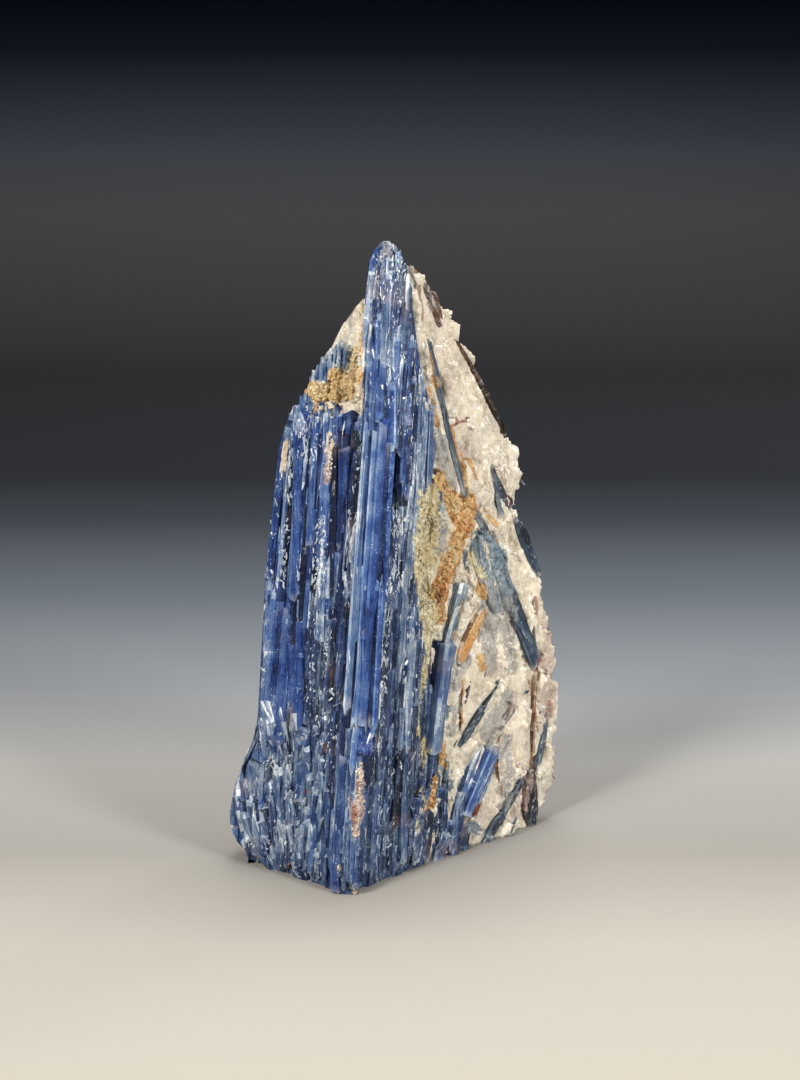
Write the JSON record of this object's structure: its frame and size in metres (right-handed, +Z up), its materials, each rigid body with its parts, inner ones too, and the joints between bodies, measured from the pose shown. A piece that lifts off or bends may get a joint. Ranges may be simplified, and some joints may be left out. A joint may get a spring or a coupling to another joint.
{
  "type": "kyanite specimen",
  "caption": "Fan of long flat blue kyanite crystals grown together on a wedge of milky quartz; a display specimen that stands upright on a flat foot.",
  "frame": {"origin": "centre of the specimen's outline from above, on the plane that it stands on", "axes": "+Z up along the crystals, -Y towards the sharp front ridge, +X towards the quartz side"},
  "size_m": [0.1044, 0.074, 0.19],
  "materials": {
    "kyanite_royal": "satin",
    "kyanite_slate": "satin",
    "kyanite_rusty": "satin",
    "quartz_milky": "satin"
  },
  "bodies": {
    "root": {"kyanite_mass": "kyanite_royal", "quartz_matrix": "quartz_milky", "back_crystal_high": "kyanite_slate", "back_crystal_low": "kyanite_slate", "back_crystal_side": "kyanite_slate", "corner_crystal": "kyanite_slate", "diagonal_crystal": "kyanite_slate", "grey_crystal": "kyanite_slate", "jagged_crystal": "kyanite_slate", "kyanite_foot_cluster": "kyanite_slate", "kyanite_seam_cluster": "kyanite_slate", "low_crystal": "kyanite_slate", "seam_crystal": "kyanite_slate", "side_crystal": "kyanite_slate", "crown_crystal": "kyanite_rusty", "needle_crystal": "kyanite_rusty", "rim_crystal": "kyanite_rusty", "stained_crystal": "kyanite_rusty"}
  },
  "joints": []
}
